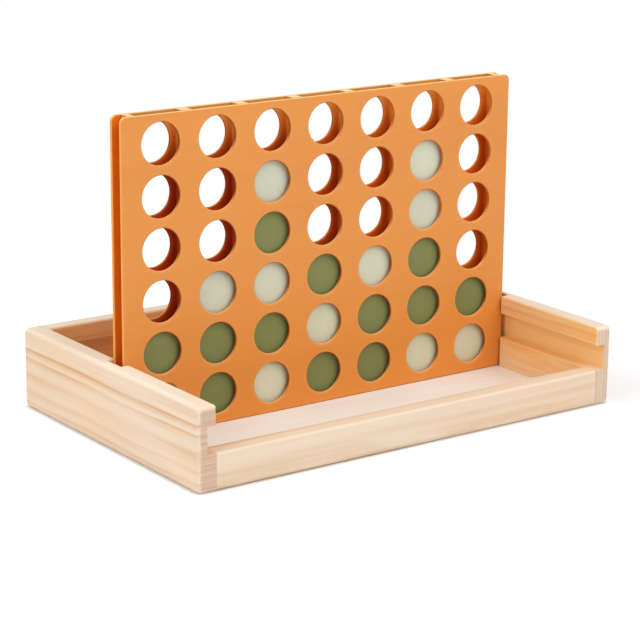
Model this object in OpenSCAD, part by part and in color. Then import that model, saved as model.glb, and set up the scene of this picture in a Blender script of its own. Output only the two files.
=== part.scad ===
// Four in a row frame: a perforated board that stands in slots in a wooden tray,
// with playing discs in its columns. Laid flat, the board is also the tray's sliding lid.
// Millimetres. X runs along the board, Y towards the back, Z up, from the middle of the tray's underside.

/* [Discs] */
// Diameter of a playing disc
disc_d = 29.8; // [26:0.1:34]
// Thickness of a playing disc
disc_t = 6; // [4:0.5:9]
// Rounding of a disc's edges
disc_ease = 0.8; // [0.3:0.1:1.5]
// Gap between stacked discs
stack_gap = 0.3; // [0.2:0.05:0.6]

/* [Board] */
// Columns for discs
columns = 7; // [5:1:7]
// Discs that fill one column
rows = 6; // [5:1:8]
// Clearance between a disc's rim and a divider
side_play = 0.6; // [0.4:0.05:1.2]
// Clearance between a disc and the front panel
front_play = 1.3; // [0.2:0.05:2]
// Clearance between a disc and the back panel
back_play = 0.2; // [0.1:0.05:1]
// Width of a divider strip between two columns
divider_w = 6.5; // [4:0.25:10]
// Width of the two outermost divider strips
outer_divider_w = 4.2; // [3:0.1:8]
// Thickness of each perforated panel
panel_t = 2.4; // [2:0.1:5]
// Diameter of the holes that show the discs
hole_d = 24.5; // [18:0.5:25.5]
// Height of the rail that closes the columns at the bottom
rail_h = 3.2; // [2.4:0.2:10]
// Panel above the space of the top disc
top_margin = 1.8; // [1:0.2:10]
// Panel beyond the outermost dividers
panel_overhang = 5.8; // [3:0.1:8]
// Radius of the panels' corners
panel_corner_r = 3.5; // [2:0.25:8]
// Rounding of the panels' edges
panel_ease = 0.6; // [0.2:0.1:1]
// Rounding of the holes' edges
hole_ease = 1; // [0.2:0.1:1.1]

/* [Tray] */
// Thickness of the tray's walls
wall_t = 12; // [10:0.5:18]
// Height of the front wall, level with the floor of the lid groove
front_h = 22; // [14:0.5:40]
// Wood above the lid groove
lip_h = 11.3; // [6:0.1:20]
// Depth of the lid groove, and of the slots that hold the standing board
groove_depth = 6; // [5:0.25:7.5]
// Clearance above and below the board when it lies in the groove
lid_play = 1.6; // [0.5:0.1:3]
// Reach of the standing board into each side wall
board_entry = 2.5; // [2:0.25:4]
// Distance of the standing board behind the middle of the tray
board_back = 1; // [-20:0.2:20]
// Clearance at each face of the standing board in its slots
slot_play = 0.9; // [0.2:0.05:1.5]
// Thickness of the floor panel
floor_t = 3; // [2:0.25:6]
// Width of the rebate that takes the floor panel
floor_rebate = 6; // [3:0.25:8]
// Gap between the floor panel's edges and its rebate
floor_play = 0.25; // [0.1:0.05:0.5]

/* [Rounded edges of the tray] */
// Outer edges
round_r = 3.25; // [0.5:0.25:4]
// Inner top edges, and the mouths of the slots that hold the board
inner_r = 1.5; // [0.25:0.25:2.5]
// Top edges of the front wall
front_wall_r = 1.5; // [0.5:0.25:4]
// Mouth of the lid groove
groove_r = 0.8; // [0.2:0.1:1.5]

/* [Discs in the columns, from the bottom: D is dark, L is light] */
// First column from the left
column_1 = "LD"; // 5
// Second column
column_2 = "DDL"; // 5
// Third column
column_3 = "LDLDL"; // 5
// Fourth column
column_4 = "DLD"; // 5
// Fifth column
column_5 = "DDL"; // 5
// Sixth column
column_6 = "LDDLL"; // 5
// Seventh column
column_7 = "LD"; // 5

/* [Hidden] */
$fn = 96;
// Reach of a cut past the face that it leaves by
over = 1;
// An eased edge meets its two faces at a slight angle, as a sanded edge does
ease_lead = 0.1;
// The ball of a rounded corner meets its three eased edges at a slight angle too
corner_lead = 0.15;

// Board
channel_w = disc_d + 2 * side_play;
pitch_x = channel_w + divider_w;
pitch_z = disc_d + stack_gap;
channel_gap = disc_t + front_play + back_play;
board_t = channel_gap + 2 * panel_t;
core_w = columns * pitch_x - divider_w + 2 * outer_divider_w;
panel_w = core_w + 2 * panel_overhang;
panel_h = rail_h + rows * pitch_z + top_margin;
stacks = [column_1, column_2, column_3, column_4, column_5, column_6, column_7];

// Tray
inner_w = panel_w - 2 * board_entry;
tray_w = inner_w + 2 * wall_t;
tray_d = panel_h + wall_t - groove_depth;
inner_d = tray_d - 2 * wall_t;
groove_h = board_t + 2 * lid_play;
tray_h = front_h + groove_h + lip_h;
slot_w = board_t + 2 * slot_play;

// Colours
pine = "#ead2b0";
pale_ply = "#f2e4d2";
orange = "#df8a42";
dark_green = "#7d8350";
light_green = "#cdceb4";

function column_x(c) = (c - (columns + 1) / 2) * pitch_x;
function row_height(r) = rail_h + (r - 1 / 2) * pitch_z;
function is_outermost(i) = i == 1 || i == columns + 1;
function divider_size(i) = is_outermost(i) ? outer_divider_w : divider_w;
function divider_left(i) = i == 1 ? -core_w / 2 : column_x(i - 1) + channel_w / 2;
function stack_height(c) = c > len(stacks) ? 0 : min(len(stacks[c - 1]), rows);
function is_dark(c, r) = stacks[c - 1][r - 1] == "D";
function divider_name(i) = str("divider_", i);
function disc_name(c, r) = str(is_dark(c, r) ? "dark" : "light", "_disc_c", c, "_r", r);

// Turn that takes an eased edge from facing +X and +Y to facing the way that out gives
function quarter_turn(out) = out.x > 0 ? (out.y > 0 ? 0 : 270) : (out.y > 0 ? 90 : 180);

// Section of what is sanded off a square edge at the origin, with the wood at -X and -Y
module ease_section(r) {
    inset = r * (1 + ease_lead);
    translate([-inset, -inset]) {
        difference() {
            square(inset + over);
            circle(r = norm([inset, r * ease_lead]));
        }
    }
}

// Eased edge along X, at [y, z]
module ease_x(from, to, at, out, r) {
    translate([from, at.x, at.y])
        rotate([90, 0, 90])
            linear_extrude(to - from)
                rotate(quarter_turn(out))
                    ease_section(r);
}

// Eased edge along Y, at [x, z]
module ease_y(from, to, at, out, r) {
    translate([at.x, to, at.y])
        rotate([90, 0, 0])
            linear_extrude(to - from)
                rotate(quarter_turn(out))
                    ease_section(r);
}

// Eased edge along Z, at [x, y]
module ease_z(from, to, at, out, r) {
    translate([at.x, at.y, from])
        linear_extrude(to - from)
            rotate(quarter_turn(out))
                ease_section(r);
}

// Rounded corner at [x, y, z], where three eased edges of radius r meet
module ease_corner(at, out, r) {
    inset = r * (1 + ease_lead);
    reach = inset + over;
    edge_r = norm([inset, r * ease_lead]);
    low = [for (way = out) way > 0 ? 0 : -reach];
    translate(at - inset * out)
        difference() {
            translate(low) cube(reach);
            sphere(r = norm([edge_r, r * corner_lead]));
        }
}

// Eased rim of the inside of the tray at height z, along both sides and the back
module inside_ease(z, up, r, front) {
    for (side = [-1, 1]) {
        ease_y(front, inner_d / 2, [side * inner_w / 2, z], [-side, up], r);
        translate([side * inner_w / 2, inner_d / 2, z])
            rotate(side > 0 ? 0 : 90)
                rotate_extrude(angle = 90)
                    intersection() {
                        rotate(quarter_turn([-1, up])) ease_section(r);
                        translate([0, -2 * r]) square(4 * r);
                    }
    }
    ease_x(-inner_w / 2, inner_w / 2, [inner_d / 2, z], [-1, up], r);
}

// Groove for the board as a lid: open at the front, round both sides and the back
module lid_groove() {
    half_w = inner_w / 2 + groove_depth;
    translate([-half_w, -tray_d / 2 - over, front_h])
        cube([2 * half_w, over + panel_h, groove_h]);
    inside_ease(front_h, 1, groove_r, -inner_d / 2);
    inside_ease(front_h + groove_h, -1, groove_r, -tray_d / 2 - over);
}

// Recess under the walls for the floor panel
module floor_recess() {
    size = [inner_w + 2 * floor_rebate, inner_d + 2 * floor_rebate];
    translate([-size.x / 2, -size.y / 2, -over])
        cube([size.x, size.y, floor_t + over]);
}

// Upright slots in the side walls, where the board stands for play
module board_slots() {
    half_w = inner_w / 2 + groove_depth;
    translate([-half_w, board_back - slot_w / 2, floor_t])
        cube([2 * half_w, slot_w, tray_h]);
    for (side = [-1, 1], face = [-1, 1]) {
        ends = [side * inner_w / 2, side * half_w];
        slot_y = board_back + face * slot_w / 2;
        ease_z(floor_t, tray_h + over, [ends[0], slot_y], [-side, -face], inner_r);
        ease_x(min(ends), max(ends), [slot_y, tray_h], [-face, 1], inner_r);
        ease_corner([ends[0], slot_y, tray_h], [-side, -face, 1], inner_r);
    }
}

// Rounded edges and corners on the outside of the tray
module outer_ease() {
    reach_x = tray_w / 2 + over;
    reach_y = tray_d / 2 + over;
    for (side = [-1, 1]) {
        outer_x = side * tray_w / 2;
        ease_y(-reach_y, reach_y, [outer_x, tray_h], [side, 1], round_r);
        ease_y(-reach_y, reach_y, [outer_x, 0], [side, -1], round_r);
        for (end = [-1, 1]) {
            end_y = end * tray_d / 2;
            ease_z(-over, tray_h + over, [outer_x, end_y], [side, end], round_r);
            ease_corner([outer_x, end_y, tray_h], [side, end, 1], round_r);
            ease_corner([outer_x, end_y, 0], [side, end, -1], round_r);
        }
        lip = [side * inner_w, -tray_d] / 2;
        ease_z(front_h + groove_h, tray_h + over, lip, [-side, -1], inner_r);
    }
    for (end = [-1, 1]) {
        end_y = end * tray_d / 2;
        ease_x(-reach_x, reach_x, [end_y, tray_h], [end, 1], round_r);
        ease_x(-reach_x, reach_x, [end_y, 0], [end, -1], round_r);
    }
}

// A wall of the tray: a plain board with every groove, slot and rounded edge cut from it
module tray_wall(low, size) {
    difference() {
        translate(low) cube(size);
        lid_groove();
        floor_recess();
        board_slots();
        inside_ease(tray_h, 1, inner_r, -tray_d / 2 - over);
        outer_ease();
    }
}

module left_wall() {
    color(pine) tray_wall([-tray_w / 2, -tray_d / 2, 0], [wall_t, tray_d, tray_h]);
}

module right_wall() {
    color(pine) tray_wall([inner_w / 2, -tray_d / 2, 0], [wall_t, tray_d, tray_h]);
}

module back_wall() {
    color(pine) tray_wall([-inner_w / 2, inner_d / 2, 0], [inner_w, wall_t, tray_h]);
}

module front_wall() {
    color(pine) difference() {
        tray_wall([-inner_w / 2, -tray_d / 2, 0], [inner_w, wall_t, front_h]);
        ease_x(-inner_w / 2 - over, inner_w / 2 + over, [-tray_d / 2, front_h], [-1, 1], front_wall_r);
        ease_x(-inner_w / 2 - over, inner_w / 2 + over, [-inner_d / 2, front_h], [1, 1], front_wall_r);
    }
}

module floor_panel() {
    size = [inner_w, inner_d] + 2 * (floor_rebate - floor_play) * [1, 1];
    color(pale_ply)
        translate([-size.x / 2, -size.y / 2, 0])
            cube([size.x, size.y, floor_t]);
}

// Outline of a panel, standing on the X axis
module panel_outline() {
    middle = [panel_w - 2 * panel_corner_r, panel_h - 2 * panel_corner_r];
    translate([0, panel_h / 2]) {
        square([panel_w, middle.y], center = true);
        square([middle.x, panel_h], center = true);
        for (x = [-1, 1], y = [-1, 1])
            translate([x * middle.x, y * middle.y] / 2) circle(panel_corner_r);
    }
}

// Eased rim of a panel's upper face, at z = 0
module panel_rim_ease() {
    size = [panel_w, panel_h];
    translate([0, panel_h / 2, 0])
        for (k = [0 : 3]) {
            reach = size[k % 2] / 2;
            run = size[(k + 1) % 2] - 2 * panel_corner_r;
            rotate(90 * k) {
                ease_y(-run / 2, run / 2, [reach, 0], [1, 1], panel_ease);
                translate([reach - panel_corner_r, run / 2, 0])
                    rotate_extrude(angle = 90)
                        translate([panel_corner_r, 0]) ease_section(panel_ease);
            }
        }
}

// Round hole through a panel, with both of its edges eased
module sight_hole() {
    rotate_extrude() {
        translate([0, -over]) square([hole_d / 2, panel_t + 2 * over]);
        translate([hole_d / 2, panel_t]) rotate(quarter_turn([-1, 1])) ease_section(hole_ease);
        translate([hole_d / 2, 0]) rotate(quarter_turn([-1, -1])) ease_section(hole_ease);
    }
}

// Perforated panel that stands on the tray's floor, with its back face y behind the middle of the board
module panel(y) {
    translate([0, board_back + y, floor_t])
        rotate([90, 0, 0])
            difference() {
                linear_extrude(panel_t) panel_outline();
                translate([0, 0, panel_t]) panel_rim_ease();
                mirror([0, 0, 1]) panel_rim_ease();
                for (c = [1 : columns], r = [1 : rows])
                    translate([column_x(c), row_height(r), 0]) sight_hole();
            }
}

module front_panel() {
    color(orange) panel(-channel_gap / 2);
}

module back_panel() {
    color(orange) panel(board_t / 2);
}

// Strip between the panels that closes the columns at the bottom
module bottom_rail() {
    color(orange)
        translate([-core_w / 2, board_back - channel_gap / 2, floor_t])
            cube([core_w, channel_gap, rail_h]);
}

// Strip between the panels that stands on the rail and parts two columns
module divider(i) {
    color(orange)
        translate([divider_left(i), board_back - channel_gap / 2, floor_t + rail_h])
            cube([divider_size(i), channel_gap, panel_h - rail_h]);
}

// Playing disc in column c, r from the bottom
module disc(c, r) {
    color(is_dark(c, r) ? dark_green : light_green)
        translate([column_x(c), board_back + channel_gap / 2 - back_play, floor_t + row_height(r)])
            rotate([90, 0, 0])
                rotate_extrude()
                    difference() {
                        square([disc_d / 2, disc_t]);
                        translate([disc_d / 2, disc_t]) ease_section(disc_ease);
                        translate([disc_d / 2, 0]) rotate(quarter_turn([1, -1])) ease_section(disc_ease);
                    }
}

left_wall();
right_wall();
back_wall();
front_wall();
floor_panel();
front_panel();
back_panel();
bottom_rail();
for (i = [1 : columns + 1])
    divider(i);
for (c = [1 : columns])
    for (r = [1 : 1 : stack_height(c)])
        disc(c, r);
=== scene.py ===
"""Finishes, studio light and camera for the four in a row frame, in metres, in the frame of its solids."""

import math

import bpy
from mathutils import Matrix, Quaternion, Vector


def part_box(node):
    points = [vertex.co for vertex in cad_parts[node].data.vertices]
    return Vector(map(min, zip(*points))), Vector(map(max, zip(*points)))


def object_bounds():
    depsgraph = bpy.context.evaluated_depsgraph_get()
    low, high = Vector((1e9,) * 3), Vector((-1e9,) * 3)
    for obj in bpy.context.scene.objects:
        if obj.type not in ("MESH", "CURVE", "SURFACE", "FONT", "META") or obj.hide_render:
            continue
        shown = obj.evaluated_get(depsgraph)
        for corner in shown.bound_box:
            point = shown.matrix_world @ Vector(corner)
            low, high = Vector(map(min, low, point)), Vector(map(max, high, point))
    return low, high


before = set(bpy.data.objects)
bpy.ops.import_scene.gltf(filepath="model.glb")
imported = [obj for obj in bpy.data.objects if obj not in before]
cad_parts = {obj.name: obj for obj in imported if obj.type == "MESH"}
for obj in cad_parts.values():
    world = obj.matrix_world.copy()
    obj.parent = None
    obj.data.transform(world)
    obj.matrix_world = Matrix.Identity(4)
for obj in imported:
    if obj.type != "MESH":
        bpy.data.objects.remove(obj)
cad_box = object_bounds()
tray_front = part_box("front_wall")[0].y

# Camera, fitted to the holes and the tray's edges in the photograph
CAMERA_PLACE = Vector((-0.75726, -1.05037, 0.41021))
CAMERA_AIM = Vector((0.00047, 0.0, 0.05245))
CAMERA_ROLL = math.radians(0.5455)
CAMERA_LENS_MM = 126.9
CAMERA_SENSOR_MM = 36.0

# Light: each level is what a white surface that faces it sends back, where 1 is white
SKY_LEVEL = 0.46
LAMP_DISTANCE = 1.8
LAMPS = {
    "front_lamp": {"come_from": Vector((0.30, -1.0, 0.95)), "size": 1.5, "level": 0.52},
    "left_lamp": {"come_from": Vector((-1.0, -0.05, 0.62)), "size": 1.3, "level": 0.32},
    "back_lamp": {"come_from": Vector((-0.45, 1.0, 0.75)), "size": 1.3, "level": 0.24},
}

# Pine: how far rings and end lines sway, how close the end lines lie, the late wood across one year's ring,
# how soon stripes fade above their limit, and where below a wall's top the band with its painted top
# highlights sets in
RING_SWAY = 0.004
END_LINE_SWAY = 0.0012
END_LINE_SCALE = 480.0
YEAR_STOPS = ((0.0, 0.05), (0.22, 0.0), (0.56, 0.45), (0.84, 1.0), (0.92, 0.50), (1.0, 0.05))
STRIPE_FADE = 0.004
TOP_BAND_FROM = 0.0055
TOP_BAND_BY = 0.0045

# Painted orange bounce light and shade on the inner faces: it sets in behind the tray's open front, and pales
# again near its floor
BOUNCE_SHADE_FROM = 0.011
BOUNCE_SHADE_BY = 0.018
PALE_BELOW = 0.024
PALEST_BY = 0.006

# Tan marks on the front wall: the width, depth and length of the painted shade streak on its inner top edge,
# and the height of the tan patches at the foot
STREAK_CORE = 0.0010
STREAK_WIDTH = 0.0060
STREAK_DEPTH = 0.0020
STREAK_FULL = 0.0005
STREAK_LENGTH = 0.110
PATCH_CORE = 0.0015
PATCH_HEIGHT = 0.0140

# Board: the radius where a hole's rounded rim meets the panel's face, the band that counts as a panel's
# outer edge, how far the painted highlight spreads from a rim, how deep painted light reaches into a column
# from above, how deep the painted shade in the slots at its top goes, the painted shadow line at the panels'
# foot, and a hair's breadth
HOLE_RADIUS = 0.0133
PANEL_RIM = 0.0015
RIM_HIGHLIGHT_WIDTH = 0.0012
COLUMN_MOUTH = 0.036
SLOT_BAND = 0.008
FOOT_SHADOW = 0.0009
HAIR = 0.0002

# Discs: the heights between which their colour passes from the painted shade of the low discs to the main
# tone
SHADED_DISCS_UNTIL = 0.03
UNSHADED_DISCS_FROM = 0.10

# Depth of each finish's bump, and how strongly it reflects
PINE_BUMP = 0.00010
PINE_SHINE = 0.28
PAINT_BUMP = 0.00008
PAINT_SHINE = 0.16
HOLE_SHINE = 0.02
STAIN_BUMP = 0.00005
STAIN_SHINE = 0.25

# Floor: its size and real tone, the glow that shows it as white, less so in the shade on the right, the dark
# line where the tray meets it, and the distances between which it turns plain white
FLOOR_SIZE = 12.0
FLOOR_TONE = 0.86
FLOOR_LIFT = 0.42
SHADE_LIFT = 0.24
SHADE_EDGE = 0.01
LIFT_TINT = (0.92, 0.95, 1.0, 1.0)
CONTACT_REACH = 0.003
CONTACT_DEPTH = 3.5
WHITE_FROM = 0.34
WHITE_BY = 0.60


def srgb(red, green, blue):
    """A colour from 0 to 255, as a screen shows it, in the linear values that shaders use."""

    def linear(value):
        share = value / 255
        return share / 12.92 if share <= 0.04045 else ((share + 0.055) / 1.055) ** 2.4

    return (linear(red), linear(green), linear(blue), 1.0)


class Graph:
    """A node tree, with a short method for each kind of node that the finishes use."""

    def __init__(self, owner):
        owner.use_nodes = True
        self.tree = owner.node_tree
        self.tree.nodes.clear()

    def feed(self, socket, value):
        """Links a socket to another one's output, or sets the socket's own value."""
        if isinstance(value, bpy.types.NodeSocket):
            self.tree.links.new(value, socket)
        else:
            socket.default_value = value

    def node(self, kind, inputs=None, **settings):
        made = self.tree.nodes.new(kind)
        for name, value in settings.items():
            setattr(made, name, value)
        for name, value in (inputs or {}).items():
            self.feed(made.inputs[name], value)
        return made

    def math(self, operation, *values):
        made = self.node("ShaderNodeMath", dict(enumerate(values)), operation=operation)
        return made.outputs[0]

    def vector_math(self, operation, *values):
        made = self.node("ShaderNodeVectorMath", dict(enumerate(values)), operation=operation)
        return made.outputs["Value" if operation in ("LENGTH", "DOT_PRODUCT") else "Vector"]

    def split(self, vector):
        made = self.node("ShaderNodeSeparateXYZ", {0: vector})
        return made.outputs["X"], made.outputs["Y"], made.outputs["Z"]

    def join(self, x, y, z):
        return self.node("ShaderNodeCombineXYZ", {"X": x, "Y": y, "Z": z}).outputs[0]

    def stretched(self, vector, x, y, z):
        return self.vector_math("MULTIPLY", vector, (x, y, z))

    def noise(self, vector, scale=1.0, detail=2.0, roughness=0.5):
        inputs = {"Vector": vector, "Scale": scale, "Detail": detail, "Roughness": roughness}
        return self.node("ShaderNodeTexNoise", inputs).outputs[0]

    def line_noise(self, place, scale, detail=1.0):
        """Noise along one line."""
        inputs = {"W": place, "Scale": scale, "Detail": detail}
        return self.node("ShaderNodeTexNoise", inputs, noise_dimensions="1D").outputs[0]

    def remap(self, value, low, high, to_low, to_high, smooth=False):
        inputs = {"Value": value, "From Min": low, "From Max": high, "To Min": to_low, "To Max": to_high}
        kind = "SMOOTHSTEP" if smooth else "LINEAR"
        return self.node("ShaderNodeMapRange", inputs, interpolation_type=kind).outputs[0]

    def ramp(self, factor, *stops):
        """A grey level that runs through the stops, each a place and a level."""
        made = self.node("ShaderNodeValToRGB", {"Fac": factor})
        made.color_ramp.interpolation = "EASE"
        elements = made.color_ramp.elements
        while len(elements) < len(stops):
            elements.new(1.0)
        for element, (place, level) in zip(elements, stops):
            element.position = place
            element.color = (level, level, level, 1.0)
        return made.outputs["Color"]

    def mix(self, factor, first, second, blend="MIX"):
        made = self.node("ShaderNodeMix", data_type="RGBA", blend_type=blend)
        for name, value in (("Factor_Float", factor), ("A_Color", first), ("B_Color", second)):
            self.feed(next(s for s in made.inputs if s.identifier == name), value)
        return next(s for s in made.outputs if s.identifier == "Result_Color")

    def vary(self, colour, value, low, high):
        """The colour, made darker or lighter as a noise value runs from low to high."""
        return self.brighten(colour, self.remap(value, 0.3, 0.7, low, high))

    def brighten(self, colour, level):
        """The colour times a grey level."""
        return self.mix(1.0, colour, self.join(level, level, level), blend="MULTIPLY")

    def surface(self, colour, roughness, height, depth, specular):
        """The finished surface, with bump of a real depth."""
        bump = self.node("ShaderNodeBump", {"Height": height, "Distance": depth, "Strength": 1.0})
        inputs = {
            "Base Color": colour,
            "Roughness": roughness,
            "Specular IOR Level": specular,
            "Normal": bump.outputs[0],
        }
        shader = self.node("ShaderNodeBsdfPrincipled", inputs)
        self.node("ShaderNodeOutputMaterial", {"Surface": shader.outputs[0]})


def finish_graph(name):
    """A new material, its graph, and a point's place and facing in the axes of its piece."""
    material = bpy.data.materials.new(name)
    graph = Graph(material)
    where = graph.node("ShaderNodeTexCoord")
    return material, graph, where.outputs["Object"], where.outputs["Normal"]


def eased(graph, facing):
    """1 on rounded edges and 0 on the flat faces between them."""
    x, y, z = (graph.math("ABSOLUTE", part) for part in graph.split(facing))
    most = graph.math("MAXIMUM", graph.math("MAXIMUM", x, y), z)
    return graph.remap(most, 0.80, 0.99, 1.0, 0.0)


def tan_marks(graph, place, colour):
    """Tan patches at the foot of the front wall, and a tan streak of painted shade along its inner top edge.
    """
    low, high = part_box("front_wall")
    x, y, z = graph.split(place)
    # Painted shade: a tan streak along the inner top edge, strongest at the left end
    from_edge = graph.math("SUBTRACT", high.y, y)
    near = graph.remap(from_edge, STREAK_CORE, STREAK_WIDTH, 1.0, 0.0, smooth=True)
    above = graph.remap(z, high.z - STREAK_DEPTH, high.z - STREAK_FULL, 0.0, 1.0, smooth=True)
    leftness = graph.remap(x, low.x, low.x + STREAK_LENGTH, 0.75, 0.25, smooth=True)
    streak = graph.math("MULTIPLY", graph.math("MULTIPLY", near, above), leftness)
    patch = graph.noise(graph.stretched(place, 22.0, 60.0, 90.0), detail=2.0)
    at_foot = graph.remap(z, PATCH_CORE, PATCH_HEIGHT, 0.36, 0.0, smooth=True)
    foot = graph.math("MULTIPLY", at_foot, graph.remap(patch, 0.40, 0.60, 0.15, 1.0, smooth=True))
    return graph.mix(graph.math("MAXIMUM", streak, foot), colour, TAN)


def growth_rings(graph, board, sway, pith, ring_width):
    """How far each point is the dark late wood of a growth ring, with uneven rings that fade in and out."""
    across, z = graph.split(board)[1:]
    from_pith = graph.join(graph.math("SUBTRACT", across, pith[0]), graph.math("SUBTRACT", z, pith[1]), 0.0)
    radius = graph.vector_math("LENGTH", from_pith)
    swayed = graph.math("ADD", radius, graph.remap(sway, 0.0, 1.0, -RING_SWAY, RING_SWAY))
    uneven = graph.line_noise(swayed, 0.35 / ring_width)
    years = graph.math("ADD", graph.math("DIVIDE", swayed, ring_width), graph.math("MULTIPLY", uneven, 1.8))
    late = graph.ramp(graph.math("FRACT", years), *YEAR_STOPS)
    strength = graph.remap(graph.line_noise(graph.math("FLOOR", years), 7.3), 0.3, 0.7, 0.10, 1.0)
    fade = graph.remap(graph.noise(graph.stretched(board, 9.0, 60.0, 60.0)), 0.35, 0.65, 0.25, 1.0)
    return graph.math("MULTIPLY", late, graph.math("MULTIPLY", strength, fade))


def end_grain(graph, place, sway, end_lines, tones):
    """Colour of a sawn end, with fine lines that follow one another in the direction given."""
    line_place = graph.vector_math("DOT_PRODUCT", place, end_lines)
    line_sway = graph.math("ADD", line_place, graph.remap(sway, 0.0, 1.0, -END_LINE_SWAY, END_LINE_SWAY))
    line = graph.line_noise(line_sway, END_LINE_SCALE, detail=2.0)
    return graph.mix(graph.remap(line, 0.35, 0.70, 0.0, 1.0), tones["end"], tones["end_line"])


def pine(node, grain, inward, pith, ring_width, tones, end_lines, striped_to=1.0, accent=None):
    """Solid pine: rings about a pith line give stripes on its faces, and its ends show fine lines."""
    material, graph, place, facing = finish_graph(node + "_wood")
    x, y, z = graph.split(place)
    low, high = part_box(node)
    middle = (low + high) / 2
    along, across = (x, y) if grain == "X" else (y, x)
    board = graph.join(along, across, z)

    sway = graph.noise(graph.stretched(board, 5.0, 24.0, 24.0), detail=2.0)
    striped = graph.remap(z, striped_to, striped_to + STRIPE_FADE, 1.0, 0.20, smooth=True)
    ring = graph.math("MULTIPLY", growth_rings(graph, board, sway, pith, ring_width), striped)
    fibre = graph.noise(graph.stretched(board, 22.0, 900.0, 900.0), detail=3.0, roughness=0.6)
    streak = graph.noise(graph.stretched(board, 7.0, 170.0, 170.0), detail=2.0)
    cloud = graph.noise(board, scale=14.0, detail=1.0)

    # Faces turned into the tray, and the ledges of its groove, get painted orange bounce light and shade
    inward_facing = graph.vector_math("DOT_PRODUCT", facing, inward)
    upward = graph.remap(graph.split(facing)[2], 0.4, 0.9, 0.0, 1.0, smooth=True)
    below_top = graph.remap(z, high.z - TOP_BAND_FROM, high.z - TOP_BAND_BY, 1.0, 0.0)
    ledge = graph.math("MULTIPLY", upward, below_top)
    behind_front = graph.remap(y, tray_front + BOUNCE_SHADE_FROM, tray_front + BOUNCE_SHADE_BY, 0.0, 1.0)
    bounce_shaded_ledge = graph.math("MULTIPLY", ledge, behind_front)
    inside = graph.math("MAXIMUM", graph.remap(inward_facing, 0.35, 0.85, 0.0, 1.0, smooth=True), bounce_shaded_ledge)
    near_floor = graph.math("MULTIPLY", graph.remap(z, PALEST_BY, PALE_BELOW, 0.45, 0.0, smooth=True), inside)
    face = graph.mix(inside, tones["sap"], graph.mix(near_floor, tones["bounce_and_shade_sap"], tones["sap"]))
    stripe = graph.mix(inside, tones["late"], tones["bounce_and_shade_late"])

    streaky = graph.remap(inside, 0.0, 1.0, 0.9, 2.0)
    streaks = graph.math("MULTIPLY", graph.remap(streak, 0.3, 0.7, -0.11, 0.18), streaky)
    fine = graph.math("MULTIPLY", graph.remap(fibre, 0.35, 0.65, -0.25, 0.40), inside)
    colour = graph.mix(graph.math("ADD", ring, graph.math("ADD", streaks, fine)), face, stripe)
    # Painted highlight: top faces turn paler
    top = graph.math("MULTIPLY", graph.math("SUBTRACT", upward, ledge), 0.75)
    colour = graph.mix(top, colour, tones["top"])
    colour = graph.mix(graph.remap(cloud, 0.35, 0.7, 0.0, 0.28), colour, tones["blush"])

    end_facing = graph.math("ABSOLUTE", graph.split(facing)[0 if grain == "X" else 1])
    end = graph.remap(end_facing, 0.80, 0.98, 0.0, 0.9, smooth=True)
    colour = graph.mix(end, colour, end_grain(graph, place, sway, end_lines, tones))
    colour = graph.vary(colour, fibre, 0.965, 1.03)

    # Rounded edges: paler outside, and a painted warm highlight along the inner edge of a wall's top
    rounded_edge = eased(graph, facing)
    depth = graph.vector_math("DOT_PRODUCT", place, inward)
    inner_half = graph.math("GREATER_THAN", depth, middle.dot(inward))
    outer_edge = graph.math("MULTIPLY", rounded_edge, graph.remap(inner_half, 0.0, 1.0, 0.3, 0.0))
    colour = graph.mix(outer_edge, colour, tones["edge"])
    inner_top = graph.math("SUBTRACT", inner_half, graph.math("MULTIPLY", inner_half, below_top))
    inner_edge_highlight = graph.math("MULTIPLY", rounded_edge, graph.math("MULTIPLY", inner_top, behind_front))
    colour = graph.mix(inner_edge_highlight, colour, tones["rim"])
    if accent:
        colour = accent(graph, place, colour)

    height = graph.math("ADD", graph.math("MULTIPLY", fibre, 0.6), graph.math("MULTIPLY", ring, 0.4))
    graph.surface(colour, graph.remap(fibre, 0.3, 0.7, 0.54, 0.68), height, PINE_BUMP, PINE_SHINE)
    return material


def rightward(graph, x):
    """Share of the way to the right-hand columns, where the painted light in the holes and columns is
    stronger.
    """
    half_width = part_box("front_panel")[1].x
    return graph.remap(x, -0.6 * half_width, 0.9 * half_width, 0.0, 1.0, smooth=True)


def between_panels(graph, place, tones):
    """Painted shade between the panels: deepest low in the left columns, with painted light toward the right
    and at the open tops, painted shade in the slots, and lighter in the recesses at the ends.
    """
    x, y, z = graph.split(place)
    outer_x = -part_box("divider_1")[0].x
    top_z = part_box("divider_1")[1].z
    open_top = graph.remap(z, top_z - COLUMN_MOUTH, top_z, 0.0, 1.0, smooth=True)
    slot = graph.remap(z, top_z - SLOT_BAND, top_z - 0.5 * SLOT_BAND, 0.0, 1.0, smooth=True)
    recess = graph.math("GREATER_THAN", graph.math("ABSOLUTE", x), outer_x - HAIR)
    column = graph.mix(rightward(graph, x), tones["column"], tones["lit_column"])
    column = graph.mix(open_top, column, tones["mouth"])
    column = graph.mix(slot, column, tones["slot"])
    return graph.mix(recess, column, tones["recess"])


def brushed_paint(graph, place, colour, shine=PAINT_SHINE):
    """Finishes a colour as matt paint, with the level grain of the wood faintly showing through."""
    grain = graph.noise(graph.stretched(place, 9.0, 380.0, 380.0), detail=3.0, roughness=0.6)
    band = graph.noise(graph.stretched(place, 3.0, 45.0, 45.0), detail=2.0)
    cloud = graph.noise(place, scale=11.0, detail=2.0)
    speck = graph.noise(place, scale=1600.0, detail=1.0)
    colour = graph.vary(colour, cloud, 0.975, 1.02)
    colour = graph.vary(colour, band, 0.975, 1.02)
    colour = graph.vary(colour, grain, 0.98, 1.015)
    height = graph.math("ADD", graph.math("MULTIPLY", grain, 0.75), graph.math("MULTIPLY", speck, 0.25))
    graph.surface(colour, graph.remap(grain, 0.3, 0.7, 0.50, 0.62), height, PAINT_BUMP, shine)


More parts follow.
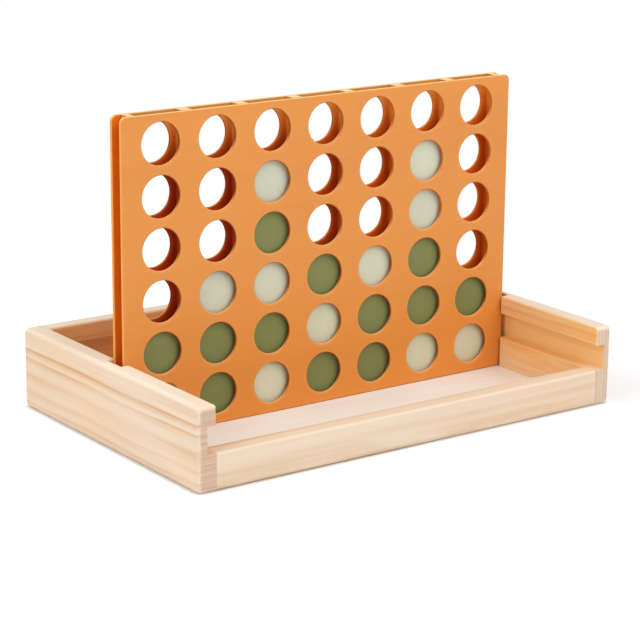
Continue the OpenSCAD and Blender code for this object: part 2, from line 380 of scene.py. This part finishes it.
def from_hole(graph, place):
    """How far a point of a panel lies outside the rim of the nearest hole."""
    x, y, z = graph.split(place)
    low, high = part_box("dark_disc_c2_r1")
    pitch_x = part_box("light_disc_c3_r1")[0].x - low.x
    pitch_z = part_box("dark_disc_c2_r2")[0].z - low.z
    cell_x = graph.math("WRAP", graph.math("SUBTRACT", x, (low.x + high.x) / 2), pitch_x / 2, -pitch_x / 2)
    cell_z = graph.math("WRAP", graph.math("SUBTRACT", z, (low.z + high.z) / 2), pitch_z / 2, -pitch_z / 2)
    from_middle = graph.vector_math("LENGTH", graph.join(cell_x, 0.0, cell_z))
    return graph.math("SUBTRACT", from_middle, HOLE_RADIUS)


def hole_light_and_shade(graph, x, height_share, upward, shallow, tones):
    """Painted light and shade on the wall of a hole: painted shade deep inside, and painted light below, high
    on the right and toward its rim.
    """
    high = graph.remap(height_share, 0.28, 0.65, 0.0, 1.0, smooth=True)
    lit = graph.math("MULTIPLY", rightward(graph, x), high)
    deep = graph.mix(lit, tones["hole"], tones["lit_hole"])
    wall = graph.mix(upward, deep, tones["edge"])
    rim = graph.mix(upward, tones["shaded"], tones["rim_highlight"])
    return graph.mix(shallow, wall, rim)


def panel_paint(name, tones):
    """Paint of the two panels, with painted light and shade: painted highlights on their outer edges and hole
    rims, painted shade in the holes, low down, between them and along their foot.
    """
    material, graph, place, facing = finish_graph(name)
    x, y, z = graph.split(place)
    front_low, front_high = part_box("front_panel")
    back_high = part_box("back_panel")[1]
    middle_y = (front_low.y + back_high.y) / 2
    half_board = (back_high.y - front_low.y) / 2
    half_gap = middle_y - front_high.y
    panel_depth = half_board - half_gap

    past_side = graph.math("SUBTRACT", graph.math("ABSOLUTE", x), front_high.x - PANEL_RIM)
    past_top = graph.math("SUBTRACT", z, front_high.z - PANEL_RIM)
    outline = graph.math("GREATER_THAN", graph.math("MAXIMUM", past_side, past_top), 0.0)
    from_middle = graph.math("SUBTRACT", y, middle_y)
    outward = graph.math("MULTIPLY", graph.split(facing)[1], graph.math("SIGN", from_middle))
    edge_on = graph.remap(graph.math("ABSOLUTE", outward), 0.45, 0.97, 1.0, 0.0, smooth=True)
    inner = graph.remap(outward, -0.75, -0.15, 1.0, 0.0, smooth=True)
    upward = graph.remap(graph.split(facing)[2], 0.1, 0.85, 0.0, 1.0, smooth=True)
    past_gap = graph.math("SUBTRACT", graph.math("ABSOLUTE", from_middle), half_gap)
    shallow = graph.remap(past_gap, 0.2 * panel_depth, panel_depth, 0.0, 1.0)

    height_share = graph.remap(z, front_low.z, front_high.z, 0.0, 1.0)
    # Painted shade: the paint turns to its darker low tone toward the panels' bottom
    raised = graph.remap(height_share, 0.05, 0.55, 0.0, 1.0, smooth=True)
    colour = graph.mix(raised, tones["low"], tones["face"])
    # Painted highlight: a faint pale ring just outside each hole's rim
    rim_highlight = graph.remap(from_hole(graph, place), 0.0, RIM_HIGHLIGHT_WIDTH, 0.12, 0.0, smooth=True)
    colour = graph.mix(rim_highlight, colour, tones["rim_highlight"])
    # Painted light and shade on the walls of the holes
    colour = graph.mix(edge_on, colour, hole_light_and_shade(graph, x, height_share, upward, shallow, tones))
    # Painted shade on the faces between the panels
    colour = graph.mix(inner, colour, between_panels(graph, place, tones))
    # Painted shadow: a dark line along the panels' foot
    foot = graph.remap(z, front_low.z, front_low.z + FOOT_SHADOW, 0.45, 1.0)
    colour = graph.brighten(colour, foot)
    # Painted highlight on the panels' outer edges, palest on top
    edge = graph.mix(upward, tones["edge"], tones["top"])
    colour = graph.mix(graph.math("MULTIPLY", edge_on, outline), colour, edge)
    brushed_paint(graph, place, colour, graph.remap(edge_on, 0.0, 1.0, PAINT_SHINE, HOLE_SHINE))
    return material


def strip_paint(name, tones):
    """Paint of the strips between the panels, with painted shade between the panels and a painted highlight
    on their tops.
    """
    material, graph, place, facing = finish_graph(name)
    upward = graph.remap(graph.split(facing)[2], 0.5, 0.9, 0.0, 1.0, smooth=True)
    brushed_paint(graph, place, graph.mix(upward, between_panels(graph, place, tones), tones["strip"]))
    return material


def stain(name, tone, low_shade_tone, edge_highlight_tone):
    """Matt stain on a turned disc: each one's grain lies another way and its tone differs a little, with
    painted shade on the low discs and a painted highlight on the rounded edges.
    """
    material, graph, place, facing = finish_graph(name)
    chance = graph.node("ShaderNodeObjectInfo").outputs["Random"]
    turn = {"Vector": place, "Angle": graph.math("MULTIPLY", chance, math.pi)}
    turned = graph.node("ShaderNodeVectorRotate", turn, rotation_type="Y_AXIS").outputs[0]
    grain = graph.noise(graph.stretched(turned, 40.0, 600.0, 600.0), detail=3.0, roughness=0.6)
    band = graph.noise(graph.stretched(turned, 12.0, 150.0, 150.0), detail=2.0)
    speck = graph.noise(place, scale=1800.0, detail=1.0)

    # Painted shade: low discs are darker
    raised = graph.remap(graph.split(place)[2], SHADED_DISCS_UNTIL, UNSHADED_DISCS_FROM, 0.0, 1.0, smooth=True)
    shade = graph.mix(raised, low_shade_tone, tone)
    # Painted highlight: the rounded edges are paler
    colour = graph.mix(graph.math("MULTIPLY", eased(graph, facing), 0.5), shade, edge_highlight_tone)
    colour = graph.brighten(colour, graph.remap(chance, 0.0, 1.0, 0.96, 1.04))
    colour = graph.vary(colour, band, 0.982, 1.018)
    colour = graph.vary(colour, grain, 0.978, 1.018)

    height = graph.math("ADD", graph.math("MULTIPLY", grain, 0.8), graph.math("MULTIPLY", speck, 0.2))
    graph.surface(colour, graph.remap(grain, 0.3, 0.7, 0.58, 0.70), height, STAIN_BUMP, STAIN_SHINE)
    return material


# Pine tones: the inner tones are painted orange bounce light and shade, and the top and rim tones are painted
# highlights
PINE = {
    "sap": srgb(247, 227, 203),
    "late": srgb(232, 193, 151),
    "bounce_and_shade_sap": srgb(255, 222, 152),
    "bounce_and_shade_late": srgb(240, 164, 86),
    "blush": srgb(246, 214, 188),
    "top": srgb(250, 237, 217),
    "rim": srgb(255, 216, 168),
    "end": srgb(229, 204, 180),
    "end_line": srgb(212, 182, 155),
    "edge": srgb(252, 236, 214),
}
LEFT_PINE = {
    **PINE,
    "sap": srgb(244, 222, 198),
    "late": srgb(214, 156, 95),
    "blush": srgb(246, 203, 148),
    "end": srgb(222, 194, 169),
    "end_line": srgb(204, 171, 146),
}
FRONT_PINE = {**PINE, "sap": srgb(243, 223, 199), "late": srgb(218, 166, 110), "top": srgb(246, 224, 194)}
# The right and back walls' inner tones: painted orange bounce light, with painted shade at the back
RIGHT_PINE = {**PINE, "bounce_and_shade_sap": srgb(255, 208, 132), "bounce_and_shade_late": srgb(246, 162, 84)}
BACK_PINE = {**PINE, "bounce_and_shade_sap": srgb(250, 194, 134), "bounce_and_shade_late": srgb(236, 160, 98)}
TAN = srgb(216, 172, 124)
PLY = {
    **PINE,
    "sap": srgb(255, 253, 247),
    "late": srgb(251, 244, 234),
    "blush": srgb(255, 248, 238),
    "top": srgb(255, 254, 249),
}

RIGHT = Vector((1.0, 0.0, 0.0))
LEFT = -RIGHT
BACK = Vector((0.0, 1.0, 0.0))
FRONT = -BACK
UP = Vector((0.0, 0.0, 1.0))

# For each piece: its grain, the way into the tray, its pith's place, its ring width, its tones, and the way
# that the lines on its ends follow one another
finishes = {
    "left_wall": pine("left_wall", "Y", RIGHT, (-0.120, -0.150), 0.0088, LEFT_PINE, UP),
    "right_wall": pine("right_wall", "Y", LEFT, (0.240, 0.010), 0.0052, RIGHT_PINE, RIGHT),
    "front_wall": pine(
        "front_wall", "X", BACK, (-0.070, -0.090), 0.0085, FRONT_PINE, UP, striped_to=0.012, accent=tan_marks
    ),
    "back_wall": pine("back_wall", "X", FRONT, (0.170, -0.040), 0.0055, BACK_PINE, UP),
    "floor_panel": pine("floor_panel", "X", -UP, (0.020, -0.160), 0.0040, PLY, UP),
}

# Orange paint: the face tone is the paint itself, the darker tones are painted shade in the holes, between
# the panels and low down, and the paler ones are painted light and highlights on rims, edges, tops and open
# columns
ORANGE = {
    "face": srgb(233, 153, 79),
    "low": srgb(228, 143, 64),
    "rim_highlight": srgb(246, 178, 110),
    "shaded": srgb(178, 104, 42),
    "edge": srgb(253, 172, 96),
    "top": srgb(255, 206, 132),
    "hole": srgb(104, 34, 6),
    "lit_hole": srgb(236, 122, 46),
    "column": srgb(186, 62, 3),
    "lit_column": srgb(218, 100, 14),
    "mouth": srgb(252, 166, 70),
    "slot": srgb(204, 144, 76),
    "recess": srgb(230, 124, 26),
    "strip": srgb(255, 214, 150),
}
board_paint = panel_paint("orange_paint", ORANGE)
strip_finish = strip_paint("strip_paint", ORANGE)
# Disc stains: each with its tone, a darker painted shade for the low discs, and a paler painted highlight for
# the rounded edges
shared_finishes = {
    "dark": stain("dark_green_stain", srgb(134, 141, 86), srgb(126, 132, 78), srgb(150, 155, 102)),
    "light": stain("light_green_stain", srgb(215, 219, 195), srgb(214, 215, 186), srgb(226, 229, 208)),
    "divider": strip_finish,
    "bottom": strip_finish,
}

for node_name, node_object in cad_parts.items():
    kind = node_name.split("_")[0]
    finish = finishes.get(node_name) or shared_finishes.get(kind) or board_paint
    node_object.material_slots[0].material = finish


def seen_directly(graph):
    """1 for what the camera sees, straight or in a reflection, and 0 for light on its way to a surface."""
    path = graph.node("ShaderNodeLightPath").outputs
    mirrored = graph.math("MAXIMUM", path["Is Glossy Ray"], path["Is Transmission Ray"])
    return graph.math("MAXIMUM", path["Is Camera Ray"], mirrored)


def make_sky():
    """An even soft light from all round, shown as white."""
    world = bpy.data.worlds.new("soft_sky")
    bpy.context.scene.world = world
    graph = Graph(world)
    level = graph.remap(seen_directly(graph), 0.0, 1.0, SKY_LEVEL, 1.0)
    sky = graph.node("ShaderNodeBackground", {"Color": (1.0, 1.0, 1.0, 1.0), "Strength": level})
    graph.node("ShaderNodeOutputWorld", {"Surface": sky.outputs[0]})


def make_floor():
    """A pale floor that keeps the object's soft shadow, and is shown as white away from it."""
    bpy.ops.mesh.primitive_plane_add(size=FLOOR_SIZE)
    floor = bpy.context.object
    floor.name = "floor"
    material = bpy.data.materials.new("pale_floor")
    graph = Graph(material)
    tone = (FLOOR_TONE, FLOOR_TONE, FLOOR_TONE, 1.0)
    place = graph.node("ShaderNodeTexCoord").outputs["Object"]
    far = graph.remap(graph.vector_math("LENGTH", place), WHITE_FROM, WHITE_BY, 0.0, 1.0, smooth=True)
    plain = graph.node("ShaderNodeBsdfDiffuse", {"Color": tone}).outputs[0]
    open_sky = graph.node("ShaderNodeAmbientOcclusion", {"Distance": CONTACT_REACH}).outputs["AO"]
    past_right = graph.math("SUBTRACT", graph.split(place)[0], cad_box[1].x)
    lift_here = graph.remap(past_right, -SHADE_EDGE, SHADE_EDGE, FLOOR_LIFT, SHADE_LIFT, smooth=True)
    level = graph.math("MULTIPLY", graph.math("POWER", open_sky, CONTACT_DEPTH), lift_here)
    lift = graph.node("ShaderNodeEmission", {"Color": LIFT_TINT, "Strength": level}).outputs[0]
    white = graph.node("ShaderNodeEmission", {"Strength": 1.0}).outputs[0]
    near = graph.node("ShaderNodeAddShader", {0: plain, 1: lift}).outputs[0]
    shown = graph.node("ShaderNodeMixShader", {0: far, 1: near, 2: white}).outputs[0]
    mixed = graph.node("ShaderNodeMixShader", {0: seen_directly(graph), 1: plain, 2: shown}).outputs[0]
    graph.node("ShaderNodeOutputMaterial", {"Surface": mixed})
    floor.data.materials.append(material)


def make_lamp(name, come_from, size, level):
    """A square soft lamp that points at the object."""
    data = bpy.data.lights.new(name, "AREA")
    data.size = size
    data.energy = level * math.pi**2 * LAMP_DISTANCE**2
    lamp = bpy.data.objects.new(name, data)
    bpy.context.scene.collection.objects.link(lamp)
    middle = (cad_box[0] + cad_box[1]) / 2
    lamp.location = middle + come_from.normalized() * LAMP_DISTANCE
    lamp.rotation_euler = (-come_from).to_track_quat("-Z", "Y").to_euler()


def make_camera():
    """The camera of the photograph."""
    data = bpy.data.cameras.new("camera")
    data.lens = CAMERA_LENS_MM
    data.sensor_width = CAMERA_SENSOR_MM
    camera = bpy.data.objects.new("camera", data)
    bpy.context.scene.collection.objects.link(camera)
    camera.location = CAMERA_PLACE
    level_view = (CAMERA_AIM - CAMERA_PLACE).to_track_quat("-Z", "Y")
    camera.rotation_mode = "QUATERNION"
    camera.rotation_quaternion = level_view @ Quaternion((0.0, 0.0, 1.0), CAMERA_ROLL)
    bpy.context.scene.camera = camera


make_sky()
make_floor()
for lamp_name, lamp_values in LAMPS.items():
    make_lamp(lamp_name, **lamp_values)
make_camera()
bpy.context.scene.view_settings.view_transform = "Standard"
